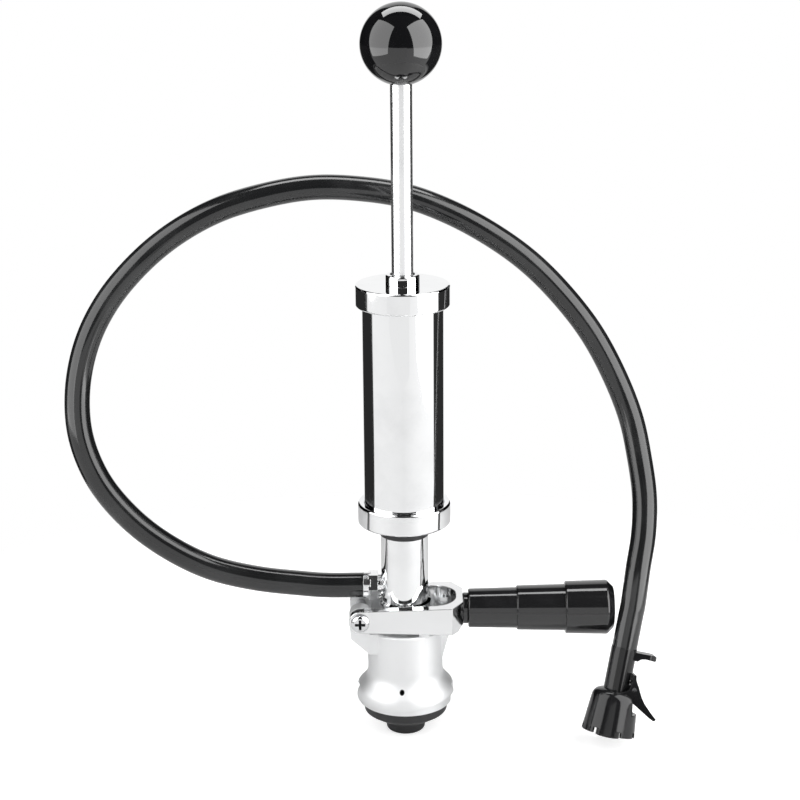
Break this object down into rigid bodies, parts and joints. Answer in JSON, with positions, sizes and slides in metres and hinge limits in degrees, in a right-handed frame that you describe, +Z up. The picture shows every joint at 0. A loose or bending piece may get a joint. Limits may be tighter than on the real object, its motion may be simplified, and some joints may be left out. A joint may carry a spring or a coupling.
{
  "type": "keg party pump",
  "caption": "Keg tapping pump: a ball-knob hand pump over a twist-lock lever coupler, with a hose that ends in a squeeze tap.",
  "frame": {"origin": "on the pump's axis, in the plane of the coupler's underside, where the keg's neck seats", "axes": "+Z up the pump's axis, +X out along the lever's grip, +Y to the back"},
  "size_m": [0.2823, 0.0879, 0.3522],
  "materials": {
    "chrome": "bright chrome plate",
    "steel": "plain stainless",
    "brass": "turned brass",
    "black_gloss": "polished black",
    "black_plastic": "moulded black",
    "rubber": "matt black rubber",
    "hose": "dark flexible vinyl"
  },
  "bodies": {
    "coupler": {"coupler_body": "chrome", "bottom_seal": "rubber", "probe_ring_upper": "rubber", "probe_ring_lower": "rubber", "hinge_screw": "steel", "hinge_nut": "steel"},
    "lever": {"lever_yoke": "chrome", "drive_pin_front": "steel", "drive_pin_rear": "steel", "handle_stud": "steel", "handle_collar": "black_gloss", "handle_grip": "black_gloss"},
    "pump_head": {"probe": "chrome", "beer_tube": "steel", "probe_tip_seal": "rubber", "outlet_tail": "chrome", "neck_gasket": "rubber", "valve_seat": "brass", "valve_cage": "brass", "valve_spring": "steel", "bottom_cap": "chrome", "barrel_gasket": "rubber", "barrel": "chrome", "top_cap": "chrome", "rod_gland": "chrome", "rod_wiper": "rubber", "hose": "hose", "tap_body": "black_plastic", "tap_pin": "steel", "tap_spring": "steel"},
    "plunger": {"knob": "black_gloss", "knob_insert": "brass", "pump_rod": "chrome", "rod_bumper": "rubber", "piston_plate": "steel", "piston_cup": "rubber", "piston_washer": "steel", "piston_nut": "steel"},
    "air_valve": {"valve_disc": "rubber"},
    "tap_trigger": {"tap_lever": "black_plastic"},
    "tap_valve": {"tap_stem": "brass", "tap_stem_seal": "rubber"}
  },
  "joints": [
    {"name": "probe_lift", "type": "slide", "parent": "coupler", "child": "pump_head", "axis": [0, 0, 1], "range_m": [0, 0.01144]},
    {"name": "lever_swing", "type": "hinge", "parent": "coupler", "child": "lever", "pos_m": [-0.0214, 0, 0.0466], "axis": [0, -1, 0], "range_deg": [0, 32]},
    {"name": "pump_stroke", "type": "slide", "parent": "pump_head", "child": "plunger", "axis": [0, 0, 1], "range_m": [-0.084, 0]},
    {"name": "air_valve_open", "type": "slide", "parent": "pump_head", "child": "air_valve", "axis": [0, 0, -1], "range_m": [0, 0.0015], "stiffness_N_per_m": 300, "springref_m": -0.002, "deforming": ["valve_spring"]},
    {"name": "tap_squeeze", "type": "hinge", "parent": "pump_head", "child": "tap_trigger", "pos_m": [0.10856, -0.01807, 0.0122], "axis": [-0.0573, 0.9613, -0.2696], "range_deg": [0, 14]},
    {"name": "tap_valve_lift", "type": "slide", "parent": "pump_head", "child": "tap_valve", "axis": [0.1999, 0.2756, 0.9403], "range_m": [0, 0.00095], "stiffness_N_per_m": 800, "springref_m": -0.002, "deforming": ["tap_spring"]}
  ],
  "couplings": [
    {"joint": "lever_swing", "follows": "probe_lift", "rad_per_m": 48.78},
    {"joint": "tap_squeeze", "follows": "tap_valve_lift", "rad_per_m": 257}
  ]
}
